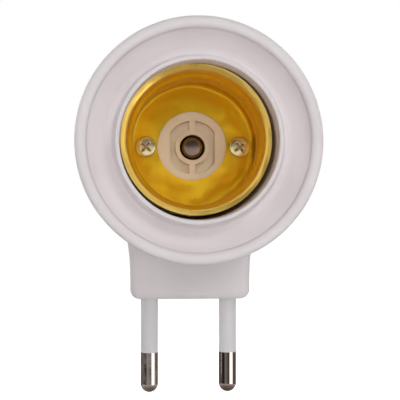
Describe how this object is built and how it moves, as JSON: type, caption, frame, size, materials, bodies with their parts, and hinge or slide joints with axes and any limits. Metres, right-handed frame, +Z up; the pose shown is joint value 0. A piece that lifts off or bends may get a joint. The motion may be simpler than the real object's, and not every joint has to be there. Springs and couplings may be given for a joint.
{
  "type": "lamp socket adapter",
  "caption": "Screw lamp holder with a flared white bell and brass thread, set at a right angle on a flat block with round plug pins.",
  "frame": {"origin": "middle of the plug block's underside, halfway between the pins", "axes": "+Z up from the pins to the socket, the pins point to -Z; the socket opens to -Y; +X to the right when looking into the socket"},
  "size_m": [0.0468, 0.054, 0.0787],
  "materials": {
    "white_moulding": "white moulded plastic, satin",
    "pin_sleeve": "white moulded plastic, satin",
    "beige_core": "beige moulded insulator, matt",
    "shell_brass": "drawn brass sheet, bright",
    "strip_brass": "stamped brass strip",
    "shell_screw_brass": "turned brass, cross recess",
    "contact_metal": "turned, thinly plated",
    "plated_pin": "nickel plated, polished",
    "plated_steel": "zinc plated",
    "spring_steel": "spring wire"
  },
  "bodies": {
    "holder": {"front_housing": "white_moulding", "rear_cover": "white_moulding", "screw_shell": "shell_brass", "contact_carrier": "beige_core", "contact_spring": "spring_steel", "live_strip": "strip_brass", "neutral_strip": "strip_brass", "nut_plate": "plated_steel", "shell_screw_left": "shell_screw_brass", "shell_screw_right": "shell_screw_brass", "strip_screw": "plated_steel", "live_pin": "plated_pin", "neutral_pin": "plated_pin", "live_pin_sleeve": "pin_sleeve", "neutral_pin_sleeve": "pin_sleeve", "live_pin_screw": "plated_steel", "neutral_pin_screw": "plated_steel", "pin_carrier": "beige_core", "cover_screws": "plated_steel"},
    "contact": {"centre_contact": "contact_metal"}
  },
  "joints": [
    {"name": "contact_press", "type": "slide", "parent": "holder", "child": "contact", "axis": [0, 1, 0], "range_m": [0, 0.002], "stiffness_N_per_m": 300, "springref_m": -0.002, "deforming": ["contact_spring"]}
  ]
}
